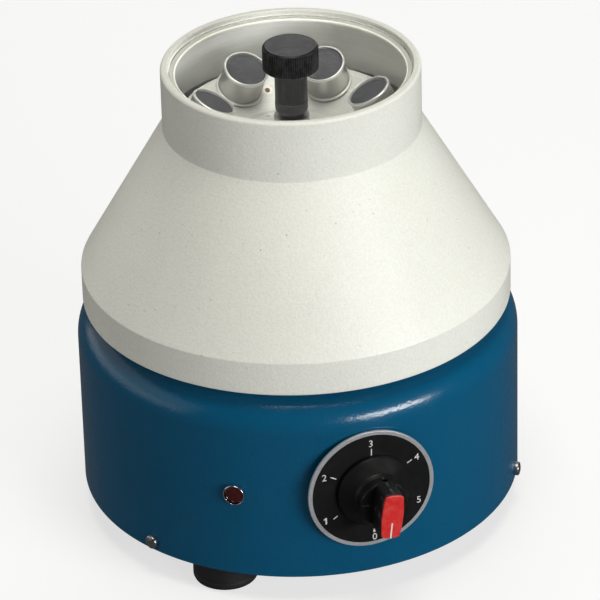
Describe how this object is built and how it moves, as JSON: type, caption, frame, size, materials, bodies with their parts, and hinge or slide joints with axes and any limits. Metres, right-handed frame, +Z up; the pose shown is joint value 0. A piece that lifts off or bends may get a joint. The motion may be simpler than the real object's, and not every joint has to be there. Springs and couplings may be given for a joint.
{
  "type": "laboratory centrifuge",
  "caption": "Bench-top laboratory centrifuge: round motor base with speed dial, tapered guard bowl, clear lid with knob and a fixed-angle rotor holding capped tube shields.",
  "frame": {"origin": "on the rotor's axis, in the plane of the foot soles", "axes": "+Z up along the rotor's axis, -Y towards the user at the controls, +X to the user's right"},
  "size_m": [0.2209, 0.2673, 0.2495],
  "materials": {
    "blue_paint": "satin, fine orange peel",
    "cream_paint": "satin, fine leather grain",
    "zinc_steel": "zinc plated sheet",
    "rubber": "moulded, matt",
    "steel": "turned",
    "aluminium": "spun and brushed",
    "acrylic": "clear cast acrylic",
    "black_plastic": "moulded phenolic",
    "cap_black": "moulded, slightly scuffed",
    "red_plastic": "moulded",
    "lamp_red": "faceted, unlit neon lens",
    "chrome": "polished",
    "copper": "enamelled windings and commutator",
    "laminations": "stacked sheet steel",
    "carbon": "pressed carbon",
    "regulator_case": "moulded case"
  },
  "bodies": {
    "housing": {"drum": "blue_paint", "base_plate": "zinc_steel", "foot_front": "rubber", "foot_right": "rubber", "foot_rear": "rubber", "drum_screw_left": "steel", "drum_screw_right": "steel", "drum_screw_rear": "steel", "spacer_ring": "rubber", "bowl": "cream_paint", "chamber_floor": "aluminium", "bowl_screw_1": "steel", "bowl_screw_2": "steel", "bowl_screw_3": "steel", "shaft_seal": "rubber", "motor_can": "zinc_steel", "motor_bracket_upper": "aluminium", "motor_bracket_lower": "aluminium", "bearing_upper": "steel", "bearing_lower": "steel", "brush_front": "carbon", "brush_rear": "carbon", "stator_core": "laminations", "field_coil_right": "copper", "field_coil_left": "copper", "motor_mount_1": "rubber", "motor_mount_2": "rubber", "motor_mount_3": "rubber", "dial_plate": "black_plastic", "speed_regulator": "regulator_case", "lamp_bezel": "chrome", "lamp_lens": "lamp_red", "cable_gland": "black_plastic", "gland_nut": "black_plastic"},
    "lid": {"lid_disc": "acrylic", "lid_knob": "black_plastic", "lid_boss": "black_plastic"},
    "rotor": {"motor_shaft": "steel", "armature_core": "laminations", "armature_winding": "copper", "commutator": "copper", "rotor_hub": "aluminium", "rotor_dish": "aluminium", "rotor_cradle": "aluminium", "rotor_nut": "black_plastic"},
    "speed_control": {"speed_knob": "black_plastic", "knob_pointer": "red_plastic", "regulator_spindle": "steel"},
    "shield_1": {"tube_shield_1": "aluminium", "tube_cap_1": "cap_black"},
    "shield_2": {"tube_shield_2": "aluminium", "tube_cap_2": "cap_black"},
    "shield_3": {"tube_shield_3": "aluminium", "tube_cap_3": "cap_black"},
    "shield_4": {"tube_shield_4": "aluminium", "tube_cap_4": "cap_black"},
    "shield_5": {"tube_shield_5": "aluminium", "tube_cap_5": "cap_black"},
    "shield_6": {"tube_shield_6": "aluminium", "tube_cap_6": "cap_black"}
  },
  "joints": [
    {"name": "lid_lift", "type": "slide", "parent": "housing", "child": "lid", "axis": [0, 0, 1], "range_m": [0, 0.06]},
    {"name": "rotor_spin", "type": "hinge", "parent": "housing", "child": "rotor", "pos_m": [0, 0, 0.15], "axis": [0, 0, 1], "continuous": true},
    {"name": "knob_turn", "type": "hinge", "parent": "housing", "child": "speed_control", "pos_m": [0.03424, -0.10664, 0.062], "axis": [-0.3057, 0.9521, 0], "range_deg": [-6.6, 293.4]},
    {"name": "shield_1_lift", "type": "slide", "parent": "rotor", "child": "shield_1", "axis": [-0.1848, -0.4017, 0.8969], "range_m": [0, 0.008]},
    {"name": "shield_2_lift", "type": "slide", "parent": "rotor", "child": "shield_2", "axis": [-0.4402, -0.0408, 0.8969], "range_m": [0, 0.008]},
    {"name": "shield_3_lift", "type": "slide", "parent": "rotor", "child": "shield_3", "axis": [-0.2555, 0.3608, 0.8969], "range_m": [0, 0.008]},
    {"name": "shield_4_lift", "type": "slide", "parent": "rotor", "child": "shield_4", "axis": [0.1848, 0.4017, 0.8969], "range_m": [0, 0.008]},
    {"name": "shield_5_lift", "type": "slide", "parent": "rotor", "child": "shield_5", "axis": [0.4402, 0.0408, 0.8969], "range_m": [0, 0.008]},
    {"name": "shield_6_lift", "type": "slide", "parent": "rotor", "child": "shield_6", "axis": [0.2555, -0.3608, 0.8969], "range_m": [0, 0.008]}
  ]
}
